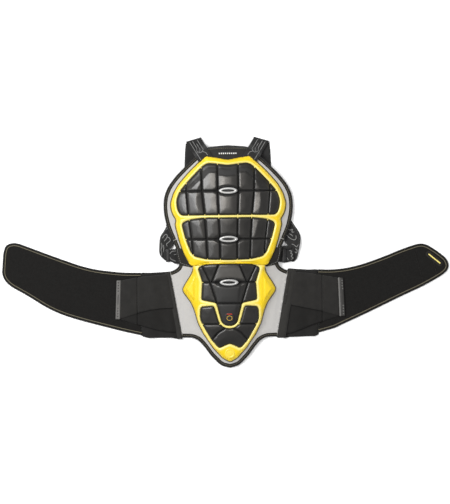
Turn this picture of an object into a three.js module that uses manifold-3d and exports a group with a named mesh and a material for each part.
// Back protector with kidney belt, lying on its inner side: spine along Y, outer face up.
// X runs across the back, Y up the spine, Z away from the wearer. Millimetres.
import * as THREE from "three";
import { mergeVertices } from "three/addons/utils/BufferGeometryUtils.js";
import Module from "manifold-3d";

const wasm = await Module();
wasm.setup();

// ---------- driving dimensions ----------
const GAP = 0.3; // clearance between neighbouring pieces
const SKIN = 3.7; // thickness of the fabric carrier
const CORE = 5.7; // impact foam on the carrier
const CORE_INSET = 4; // how far the foam stays inside the frame's outline
const FRAME = 4.6; // moulded frame above the foam
const TILE = 7; // hard plates, standing proud of the frame
const PAD = 8; // soft liner pads on the wearer's side
const BINDING_WIDTH = 8; // bias tape round the carrier
const EDGE_LIFT = 3.5; // room for the shoulder straps under the chest and waist edges
const ARCH = [ // height of the arched back above its edges, down the spine: [y, height]
  [275, 17], [200, 28], [120, 36], [0, 30], [-90, 24], [-165, 12], [-242, 0],
];
const ARCH_HALF_WIDTH = [[20, 151], [-20, 138], [-165, 111], [-242, 100]]; // [y, x]
const THORACIC_Y = 109.6; // flex line between upper and middle back
const LUMBAR_Y = 0; // flex line between middle and lower back
const GRID_X = 25; // spacing of the facets of the arched surface
const GRID_Y = 27;
const GRID_REACH = 320; // the facets cover this far each way
const FINE_GRID = 6; // facets of the front straps, which fall over the yoke's edge
const GROOVE_WIDTH = 2.6;
const GROOVE_DEPTH = 2.4;
const RING_LENGTH = 45.8; // vent rings
const RING_WIDTH = 16;
const RING_WALL = 4.6;
const RING_Y = { upper: 168.7, middle: 56.9, lower: -43.4 };
const DISC = { y: -208.4, size: 24, height: 1.4 }; // raised disc on the tail
const YOKE = 1.6; // thickness of the yoke panel
const WEBBING = 2.2; // thickness of strap webbing
const PANEL = 3; // thickness of the belt's panels
const PIPING = 6; // bound edge of the belt wings
const PIPING_RISE = 0.4;
const BAND = 1.8; // elastic adjuster bands
const GRIP = 2.6; // moulded grip on their ends
const FIELD = 700; // larger than the object, for tall and wide cutting blocks

// ---------- materials ----------
const finish = (color, roughness, metalness = 0) =>
  new THREE.MeshStandardMaterial({ color, roughness, metalness });
const MATERIALS = {
  plate: finish(0x35353a, 0.35),
  frame: finish(0xf6d51f, 0.3),
  chrome: finish(0xc9cbcd, 0.25, 1),
  dark: finish(0x101012, 0.6),
  foam: finish(0x4a4a4c, 0.9),
  mesh: finish(0xc6c3bf, 0.9),
  tape: finish(0x222220, 0.8),
  webbing: finish(0x1c1c1c, 0.8),
  elastic: finish(0x2d2d2b, 0.85),
  hookLoop: finish(0x1f1f1e, 0.95),
  grip: finish(0x7d7b78, 0.6),
  label: finish(0xa52a22, 0.6),
};

// ---------- the arched back ----------
// Value at y of a table of [y, value] rows whose y falls.
function along(table, y) {
  if (y >= table[0][0]) return table[0][1];
  for (let i = 1; i < table.length; i++) {
    const [y0, v0] = table[i - 1];
    const [y1, v1] = table[i];
    if (y >= y1) return v0 + ((v1 - v0) * (y0 - y)) / (y0 - y1);
  }
  return table[table.length - 1][1];
}

// Height of the carrier's underside.
function back(x, y) {
  const across = Math.min(1, Math.abs(x) / along(ARCH_HALF_WIDTH, y));
  const lift = EDGE_LIFT * THREE.MathUtils.smoothstep(y, -40, 5);
  return lift + along(ARCH, y) * Math.pow(1 - across * across, 1.5);
}

const above = (height) => (x, y) => back(x, y) + height;
const level = (height) => () => height;

// ---------- outlines ----------
const v2 = ([x, y]) => new THREE.Vector2(x, y);
const flipX = (points) => points.map(([x, y]) => [-x, y]).reverse();

// Closed outline from its right half, listed from the top down.
function mirrored(half) {
  return [...half, ...flipX(half).filter(([x]) => x < 0)];
}

// Outline with its corners rounded to a radius where the edges are long enough.
function rounded(points, radius, steps = 3) {
  const round = [];
  points.forEach((corner, i) => {
    const here = v2(corner);
    const before = v2(points.at(i - 1));
    const after = v2(points[(i + 1) % points.length]);
    const cut = Math.min(radius, here.distanceTo(before) / 2.2, here.distanceTo(after) / 2.2);
    const start = here.clone().add(before.sub(here).setLength(cut));
    const end = here.clone().add(after.sub(here).setLength(cut));
    const arc = new THREE.QuadraticBezierCurve(start, here, end);
    round.push(...arc.getPoints(steps).map((p) => [p.x, p.y]));
  });
  return round;
}

// Outline moved inwards by a distance, for clockwise or counter-clockwise points alike.
function inset(points, distance) {
  const turn = Math.sign(THREE.ShapeUtils.area(points.map(v2)));
  return points.map((corner, i) => {
    const here = v2(corner);
    const into = here.clone().sub(v2(points.at(i - 1))).normalize();
    const out = v2(points[(i + 1) % points.length]).sub(here).normalize();
    const mitre = into.clone().add(out).normalize();
    const stretch = Math.max(0.5, mitre.dot(into));
    const side = new THREE.Vector2(-mitre.y, mitre.x).multiplyScalar((turn * distance) / stretch);
    return [here.x + side.x, here.y + side.y];
  });
}

const grown = (points, distance) => inset(points, -distance);

function oval(x, y, length, width, sides = 20) {
  const bend = width / 2;
  const straight = (length - width) / 2;
  return Array.from({ length: sides }, (_, i) => {
    const angle = ((i + 0.5) / sides) * 2 * Math.PI;
    const shift = Math.cos(angle) > 0 ? straight : -straight;
    return [x + shift + bend * Math.cos(angle), y + bend * Math.sin(angle)];
  });
}

// Strip of even width along two or more points.
function strip(points, width) {
  const left = [];
  const right = [];
  points.forEach((point, i) => {
    const before = v2(points[Math.max(0, i - 1)]);
    const after = v2(points[Math.min(points.length - 1, i + 1)]);
    const way = after.sub(before).normalize().multiplyScalar(width / 2);
    left.push([point[0] - way.y, point[1] + way.x]);
    right.unshift([point[0] + way.y, point[1] - way.x]);
  });
  return [...left, ...right];
}

// ---------- solids ----------
function solid(geometry) {
  const bare = geometry.clone();
  bare.deleteAttribute("normal");
  bare.deleteAttribute("uv");
  const merged = mergeVertices(bare, 1e-4);
  return new wasm.Manifold(
    new wasm.Mesh({
      numProp: 3,
      vertProperties: new Float32Array(merged.attributes.position.array),
      triVerts: new Uint32Array(merged.index.array),
    }),
  );
}

function prism(outline, low, high) {
  const shape = new THREE.Shape(outline.map(v2));
  const geometry = new THREE.ExtrudeGeometry(shape, { depth: high - low, bevelEnabled: false });
  return solid(geometry.translate(0, 0, low));
}

// Block between two height functions over grid lines across and along the back.
function curvedBlock(xs, ys, low, high) {
  const positions = [];
  for (const height of [low, high])
    for (const y of ys) for (const x of xs) positions.push(x, y, height(x, y));
  const layer = xs.length * ys.length;
  const faces = [];
  const at = (i, j, top) => j * xs.length + i + (top ? layer : 0);
  const quad = (a, b, c, d) => faces.push(a, b, c, a, c, d);
  for (let j = 0; j < ys.length - 1; j++)
    for (let i = 0; i < xs.length - 1; i++) {
      quad(at(i, j, 1), at(i + 1, j, 1), at(i + 1, j + 1, 1), at(i, j + 1, 1));
      faces.push(at(i, j, 0), at(i + 1, j + 1, 0), at(i + 1, j, 0));
      faces.push(at(i, j, 0), at(i, j + 1, 0), at(i + 1, j + 1, 0));
    }
  const lastX = xs.length - 1;
  const lastY = ys.length - 1;
  for (let i = 0; i < lastX; i++) {
    quad(at(i, 0, 0), at(i + 1, 0, 0), at(i + 1, 0, 1), at(i, 0, 1));
    quad(at(i + 1, lastY, 0), at(i, lastY, 0), at(i, lastY, 1), at(i + 1, lastY, 1));
  }
  for (let j = 0; j < lastY; j++) {
    quad(at(0, j + 1, 0), at(0, j, 0), at(0, j, 1), at(0, j + 1, 1));
    quad(at(lastX, j, 0), at(lastX, j + 1, 0), at(lastX, j + 1, 1), at(lastX, j, 1));
  }
  const geometry = new THREE.BufferGeometry();
  geometry.setAttribute("position", new THREE.Float32BufferAttribute(positions, 3));
  geometry.setIndex(faces);
  return solid(geometry);
}

function gridLines(step, extra = []) {
  const each = Math.ceil(GRID_REACH / step);
  const lines = Array.from({ length: 2 * each + 1 }, (_, i) => (i - each) * step);
  const clear = lines.filter((line) => extra.every((other) => Math.abs(line - other) > step / 4));
  return [...clear, ...extra].sort((a, b) => a - b);
}

// The lines from a range of the grid that cover a stretch, widened to whole cells.
function covering(lines, from, to) {
  const first = lines.findLastIndex((line) => line <= from);
  const last = lines.findIndex((line) => line >= to);
  return lines.slice(Math.max(0, first), last + 1);
}

// Every piece of the arched back is cut from the same facets, so layers that are a constant
// apart stay parallel.
const FACETS = {
  x: gridLines(GRID_X),
  y: gridLines(GRID_Y, [-GAP, GAP, THORACIC_Y - GAP, THORACIC_Y + GAP]),
};
const FINE_FACETS = { x: gridLines(FINE_GRID), y: gridLines(FINE_GRID) };

// Piece with an outline, between two height functions, cut to a range of y and x.
function slab(outline, low, high, { y = [-FIELD, FIELD], x = [-FIELD, FIELD], facets = FACETS } = {}) {
  const box = new THREE.Box2().setFromPoints(outline.map(v2));
  const xs = covering(facets.x, Math.max(box.min.x, x[0]), Math.min(box.max.x, x[1]));
  const ys = covering(facets.y, Math.max(box.min.y, y[0]), Math.min(box.max.y, y[1]));
  return prism(outline, -FIELD, FIELD).intersect(curvedBlock(xs, ys, low, high));
}

const tall = (outline) => prism(outline, -FIELD, FIELD);

// ---------- scene graph ----------
const protector = new THREE.Group();

function add(name, shape, material) {
  const { vertProperties, triVerts } = shape.getMesh();
  const geometry = new THREE.BufferGeometry();
  geometry.setAttribute("position", new THREE.Float32BufferAttribute(vertProperties, 3));
  geometry.setIndex(new THREE.Uint32BufferAttribute(triVerts, 1));
  geometry.computeVertexNormals();
  const mesh = new THREE.Mesh(geometry, material);
  mesh.name = name;
  protector.add(mesh);
}

const UPPER = [THORACIC_Y + GAP, FIELD];
const MIDDLE = [LUMBAR_Y + GAP, THORACIC_Y - GAP];
const LOWER = [-FIELD, LUMBAR_Y - GAP];
const SEGMENTS = [["upper", UPPER], ["middle", MIDDLE], ["lower", LOWER]];
const SIDES = [["left", -1], ["right", 1]];

// ---------- outlines of the back ----------
const CARRIER = mirrored([
  [0, 274.4], [48, 271], [75.6, 247.8], [100.4, 225], [121.5, 204], [139, 181], [148, 160],
  [150.5, 139], [149.3, 115.5], [143, 87.5], [133, 63], [122.5, 38.5], [116, 20], [114, 0],
  [118.5, -8.5], [127, -14.2], [137.2, -17.8], [110.4, -170.5], [87, -170.6], [73, -176.6],
  [59.5, -191.4], [42.8, -214.8], [20, -237.6], [0, -242.2],
]);
const FRAME_TOP = mirrored([
  [0, 242.4], [51, 251.8], [60, 242.7], [90.5, 213.5], [115, 185.5], [127.4, 164.5],
  [134.5, 141.2], [133.3, 127.2], [128.3, 113.2], [121.1, 102.7], [124.3, 92], [115.7, 57.2],
  [106, 26.8], [96.5, 8.2], [92, 0],
]);
const FRAME_LOW = mirrored([
  [0, 0], [82, 0], [85, -8], [84.2, -15.9], [87.8, -24], [99.7, -41.8], [108.8, -57.9],
  [106.5, -65.8], [88.8, -90.3], [81.4, -108.6], [73.3, -137.7], [61.4, -162.2],
  [39, -195.8], [16.8, -220.5], [0, -229.6],
]);
const PLATE_UPPER = rounded(mirrored([
  [0, 230.5], [28, 233.8], [48, 233.5], [61.4, 224], [97.5, 186.4], [113, 168],
  [120.6, 146.8], [117.6, 125.6], [110.4, 112.9],
]), 5, 2);
const PLATE_MIDDLE = rounded(mirrored([
  [0, 106.4], [56, 106.6], [89, 102.7], [108.8, 91.6], [99.4, 57.6], [87, 26.4],
  [79.5, 17.5], [50, 10.3], [0, 8.6],
]), 5, 2);
const TONGUE = [[62.6, -83.8], [34, -89.6], [29, -92], [18, -136], [10, -142.8], [0, -144.2]];
const PLATE_LUMBAR = mirrored([
  [0, -0.6], [46, -0.9], [60, -3.5], [71.5, -9.3], [61.5, -42.2], [64, -80.5], ...TONGUE,
]);
const RIM = [[36, -97.3], [24.5, -137], [14.5, -147.8]]; // outer edge of the rim round the tongue
const RIM_FOOT = [0, -151.2];
const TAIL_OUTER = [
  [64.5, -99.8], [67, -105], [68, -127], [62.9, -140], [41.2, -177.6], [27.2, -193.3],
  [22.8, -195.8], [17.7, -192.7], [0, -185],
];
const PLATE_TAIL = [
  ...TAIL_OUTER, ...flipX(TAIL_OUTER).filter(([x]) => x < 0),
  ...RIM.map(([x, y]) => [-x, y]), RIM_FOOT, ...[...RIM].reverse(),
];
const PADS = {
  upper: rounded(mirrored([[0, 238], [52, 236], [88, 196], [92, 114], [0, 114]]), 12, 3),
  middle: rounded(mirrored([[0, 105], [90, 105], [82, 40], [74, 4], [0, 4]]), 12, 3),
  lower: rounded(mirrored([[0, -4], [66, -4], [60, -70], [42, -150], [0, -176]]), 12, 3),
};

// Grooves between the tiles of each plate, for the right half or across the spine.
const GROOVES = {
  upper: [
    [[-108, 168.5], [108, 168.5]],
    [[24, 228], [24, 168], [22, 117]],
    [[62, 212], [60, 168], [54, 117]],
    [[97, 178], [97, 168], [92, 117]],
  ],
  middle: [
    [[-94, 57], [94, 57]],
    [[22, 102], [20, 57], [19.5, 13]],
    [[53, 102], [51, 57], [49, 15]],
    [[90, 97], [85, 57], [82, 32]],
  ],
  lumbar: [
    [[-56, -43], [56, -43]],
    [[22.5, -5], [40, -42]],
    [[58, -9], [42.5, -42], [34, -82]],
  ],
  tail: [[[26, -140], [56, -140]], [[12.5, -156], [39, -173]]],
};

function grooveCutter(lines, floor) {
  const paths = lines.flatMap((line) => (line[0][0] < 0 ? [line] : [line, flipX(line)]));
  const cuts = paths.map((path) => slab(strip(path, GROOVE_WIDTH), floor, above(60)));
  return cuts.reduce((all, cut) => all.add(cut));
}

// ---------- carrier, liner, foam, frame, plates ----------
const coreLow = SKIN + GAP;
const frameLow = coreLow + CORE + GAP;
const tileTop = frameLow + TILE;
const tapeHole = inset(CARRIER, BINDING_WIDTH);
const tapeClearance = inset(CARRIER, BINDING_WIDTH + GAP);
const TAIL_TAPE_TOP = -6 * GRID_Y; // the tape starts below the belt, on a facet line

for (const [name, y] of SEGMENTS.slice(0, 2))
  add("carrier_" + name, slab(tapeClearance, above(0), above(SKIN), { y }), MATERIALS.mesh);
const tailTop = TAIL_TAPE_TOP + GAP;
const tailBlock = tall([[-FIELD, tailTop], [FIELD, tailTop], [FIELD, -FIELD], [-FIELD, -FIELD]]);
const tailEdge = tailBlock.subtract(tall(tapeClearance));
add(
  "carrier_lower",
  slab(CARRIER, above(0), above(SKIN), { y: LOWER }).subtract(tailEdge),
  MATERIALS.mesh,
);

function tape(name, range) {
  const band = slab(CARRIER, above(0), above(SKIN + 0.8), range).subtract(tall(tapeHole));
  add(name, band, MATERIALS.tape);
}
tape("binding_upper", { y: UPPER });
tape("binding_middle_left", { y: MIDDLE, x: [-FIELD, 0] });
tape("binding_middle_right", { y: MIDDLE, x: [0, FIELD] });
tape("binding_tail", { y: [-FIELD, TAIL_TAPE_TOP] });

for (const [name] of SEGMENTS)
  add("liner_pad_" + name, slab(PADS[name], above(-GAP - PAD), above(-GAP)), MATERIALS.foam);

for (const [name, y] of SEGMENTS) {
  const outline = inset(name === "lower" ? FRAME_LOW : FRAME_TOP, CORE_INSET);
  add("impact_core_" + name, slab(outline, above(coreLow), above(coreLow + CORE), { y }), MATERIALS.foam);
}

// The frame is moulded round its plates with a small clearance.
function frame(name, outline, openings, y) {
  const body = slab(outline, above(frameLow), above(frameLow + FRAME), { y });
  const open = openings.map((opening) => tall(grown(opening, GAP))).reduce((a, b) => a.add(b));
  add(name, body.subtract(open), MATERIALS.frame);
}
frame("frame_upper", FRAME_TOP, [PLATE_UPPER], UPPER);
frame("frame_middle", FRAME_TOP, [PLATE_MIDDLE], MIDDLE);
const lumbarMouth = [[-46, 5], [46, 5], [46, -12], [-46, -12]]; // open towards the middle frame
frame("frame_lower", FRAME_LOW, [PLATE_LUMBAR, lumbarMouth, PLATE_TAIL], LOWER);

function plate(name, outline, grooves, ringY) {
  let body = slab(outline, above(frameLow), above(tileTop));
  body = body.subtract(grooveCutter(grooves, above(tileTop - GROOVE_DEPTH)));
  if (ringY !== undefined)
    body = body.subtract(tall(oval(0, ringY, RING_LENGTH + 2 * GAP, RING_WIDTH + 2 * GAP)));
  add(name, body, MATERIALS.plate);
}
plate("plate_upper", PLATE_UPPER, GROOVES.upper, RING_Y.upper);
plate("plate_middle", PLATE_MIDDLE, GROOVES.middle, RING_Y.middle);
plate("plate_lumbar", PLATE_LUMBAR, GROOVES.lumbar, RING_Y.lower);
plate("plate_tail", PLATE_TAIL, GROOVES.tail);

for (const [name, y] of Object.entries(RING_Y)) {
  const outer = oval(0, y, RING_LENGTH, RING_WIDTH);
  const inner = oval(0, y, RING_LENGTH - 2 * RING_WALL, RING_WIDTH - 2 * RING_WALL);
  const seat = frameLow + 3;
  add("vent_insert_" + name, slab(outer, above(frameLow), above(seat - GAP)), MATERIALS.dark);
  const ring = slab(outer, above(seat), above(tileTop + 1)).subtract(tall(inner));
  add("vent_ring_" + name, ring, MATERIALS.chrome);
}

const discSeat = frameLow + FRAME + GAP;
const disc = slab(oval(0, DISC.y, DISC.size, DISC.size), above(discSeat), above(discSeat + DISC.height));
add("tail_disc", disc, MATERIALS.frame);
const labelOutline = rounded(mirrored([[0, -110], [9, -110], [7, -128], [0, -128]]), 3, 3);
add("tongue_label", slab(labelOutline, above(tileTop + GAP), above(tileTop + 1)), MATERIALS.label);

// ---------- yoke and shoulder straps ----------
const yokeOutline = mirrored([[0, 271], [46, 268.5], [71, 247.5], [62, 244.5], [52, 254.5], [0, 245.5]]);
const yokeLow = SKIN + 1.2; // clears the binding round the carrier
add("yoke_panel", slab(yokeOutline, above(yokeLow), above(yokeLow + YOKE)), MATERIALS.tape);

// The strap leaves the yoke, falls over its edge and folds back under the carrier.
const EDGE_POINT = new THREE.Vector2(48, 271);
const EDGE_NORMAL = new THREE.Vector2(46, 52.4).normalize();
const FALL = [2, 23]; // where the strap starts and ends its fall, beyond the yoke's edge
function strapHeight(lift) {
  return (x, y) => {
    const beyond = new THREE.Vector2(Math.abs(x), y).sub(EDGE_POINT).dot(EDGE_NORMAL);
    const fall = THREE.MathUtils.smoothstep(beyond, ...FALL);
    return lift + (1 - fall) * (back(x, y) + yokeLow + YOKE + 1);
  };
}
const STRAP_FRONT = [[60.5, 292.5], [96.8, 283.3], [68.5, 239.7], [47, 252.5], [48.2, 272]];
const STRAP_RUN = [[62, 278], [99, 246], [101, 227], [141.5, 118], [103.5, 118], [66, 227]];
const STRAP_LOOP = { // the slack of the two straps lies differently
  left: [
    [136, 114], [143, 91], [151, 77], [159, 65], [161, 53], [162, 32], [159.5, 17], [152, 9],
    [152, 35.6], [135, 38], [128, 47], [112, 86], [104, 114],
  ],
  right: [
    [137, 114], [145.7, 100.6], [155, 86.5], [163, 74], [167.5, 64], [168, 52.7], [165, 38],
    [161, 20], [157.5, 8], [151, 1], [151, 36], [138, 39.5], [130.5, 50.5], [119, 76], [104, 114],
  ],
};
const WAIST_STRAP = [[104, 33], [150.7, 33], [150.7, 3], [104, 3]];
const WAIST_STRAP_LOW = 2;
const ANCHOR = [[110.5, 33], [119, 33], [114.3, 1], [95.5, 1], [101, 8], [109.5, 27]];
const SLIDER = { x: { left: 142, right: 129 }, y: 18, length: 9, width: 34.6, height: 6.2, hole: 31.2 };

for (const [side, sign] of SIDES) {
  const place = (points) => (sign > 0 ? points : flipX(points));
  const flat = (points, low, thick) => prism(place(points), low, low + thick);
  const fine = { facets: FINE_FACETS };
  add(
    "strap_front_" + side,
    slab(place(STRAP_FRONT), strapHeight(0), strapHeight(WEBBING), fine),
    MATERIALS.webbing,
  );
  add("strap_run_" + side, flat(STRAP_RUN, 0, WEBBING), MATERIALS.webbing);
  add("strap_loop_" + side, flat(STRAP_LOOP[side], 0, WEBBING), MATERIALS.webbing);
  add("waist_strap_" + side, flat(WAIST_STRAP, WAIST_STRAP_LOW, WEBBING), MATERIALS.webbing);
  const patch = slab(place(ANCHOR), above(yokeLow), above(yokeLow + YOKE - 0.1));
  add("waist_anchor_" + side, patch, MATERIALS.tape);
  const ring = new THREE.BoxGeometry(SLIDER.length, SLIDER.width, SLIDER.height);
  const slot = new THREE.BoxGeometry(SLIDER.length + 2, SLIDER.hole, WEBBING + 2 * GAP);
  const slotMiddle = WAIST_STRAP_LOW + WEBBING / 2;
  ring.translate(sign * SLIDER.x[side], SLIDER.y, SLIDER.height / 2);
  slot.translate(sign * SLIDER.x[side], SLIDER.y, slotMiddle);
  add("slider_" + side, solid(ring).subtract(solid(slot)), MATERIALS.dark);
}

// ---------- kidney belt ----------
// The two halves are cut differently: the left one is longer and lies under the right one.
const BELTS = {
  left: {
    elastic: [[-140.2, -17.5], [-204, -18.9], [-204, -167.7], [-190, -171.4], [-132, -171.5], [-113.2, -170.7]],
    wing: [
      [-207, -19.3], [-248.7, -18.9], [-308, -11.5], [-344, -2.6], [-391.5, 14.4], [-439, 32.5],
      [-491, 52.6], [-506, 53.7], [-520, 47.9], [-525.5, 31], [-529, -18.5], [-523.6, -32.8],
      [-510.5, -46.5], [-463, -73.7], [-427, -97.5], [-391.5, -114.4], [-344, -129.6],
      [-296, -142.4], [-248.7, -154.9], [-207, -164.7],
    ],
    bandUpper: [[-145, -23.4], [-201, -28.2], [-201, -109.7], [-161, -103.2], [-130, -102.5]],
    bandLower: [[-132, -88.5], [-201, -79.7], [-201, -143.7], [-170.6, -152.6], [-120, -158.6]],
    bandEnd: [[-213.6, -29.6], [-251, -36.2], [-254, -125.1], [-213.6, -139.6]],
    grip: [[-252, -36.1], [-262.3, -36], [-265.8, -127], [-255, -127.1]],
  },
  right: {
    elastic: [[141.2, -12.8], [206.7, -15.3], [206.7, -167.3], [200, -171.3], [142, -172.6], [113.4, -171.3]],
    wing: [
      [209.7, -15.9], [237.5, -17.2], [273, -14.2], [309, -5.9], [356.5, 10], [404, 29.4],
      [440, 40.8], [452, 41.8], [464, 38], [487.7, 21.2], [506.6, 5], [511.5, -10.6],
      [506.6, -22.7], [494.7, -33.6], [452, -57.5], [404, -78.5], [356.5, -101.2], [309, -123.6],
      [261, -145], [246, -152.4], [209.7, -162.4],
    ],
    bandUpper: [[145, -21.6], [203.7, -26.3], [203.7, -110.3], [152, -99.7], [130, -95.5]],
    bandLower: [[132, -85.5], [203.7, -80.3], [203.7, -141.3], [142, -165.6], [119, -164.3]],
    bandEnd: [[216.3, -29], [251.8, -36.9], [253, -123.4], [216.3, -136.5]],
    grip: [[253.6, -35.1], [266, -35.2], [269.7, -125.6], [256, -125.4]],
  },
};
const bandLow = PANEL + GAP;
const bandHigh = bandLow + BAND + GAP;
const endLow = PANEL + 0.8; // clears the binding of the wing
for (const [side, belt] of Object.entries(BELTS)) {
  add("belt_elastic_" + side, prism(belt.elastic, 0, PANEL), MATERIALS.elastic);
  add("belt_band_lower_" + side, prism(belt.bandLower, bandLow, bandLow + BAND), MATERIALS.elastic);
  add("belt_band_upper_" + side, prism(belt.bandUpper, bandHigh, bandHigh + BAND), MATERIALS.elastic);
  add("wing_panel_" + side, prism(inset(belt.wing, PIPING + GAP), 0, PANEL), MATERIALS.hookLoop);
  const piping = prism(belt.wing, 0, PANEL + PIPING_RISE).subtract(tall(inset(belt.wing, PIPING)));
  add("wing_binding_" + side, piping, MATERIALS.tape);
  add("band_end_" + side, prism(belt.bandEnd, endLow, endLow + BAND + 0.2), MATERIALS.elastic);
  add("grip_strip_" + side, prism(belt.grip, endLow, endLow + GRIP), MATERIALS.grip);
}
const TAB = [[466.4, 16.6], [491.9, -4.4]]; // yellow pull tab near the right tip
const tabLow = PANEL + GAP;
add("tab_patch", prism(strip([[462, 20.5], [494.5, -6.3]], 12), tabLow, tabLow + 1), MATERIALS.tape);
add("pull_tab", prism(strip(TAB, 3.4), tabLow + 1 + GAP, tabLow + 2.8), MATERIALS.frame);

// ---------- the origin is under the middle of the object, on the surface it lies on ----------
const size = new THREE.Box3().setFromObject(protector);
const middle = size.getCenter(new THREE.Vector3());
protector.position.set(-middle.x, -middle.y, -size.min.z);

export default protector;
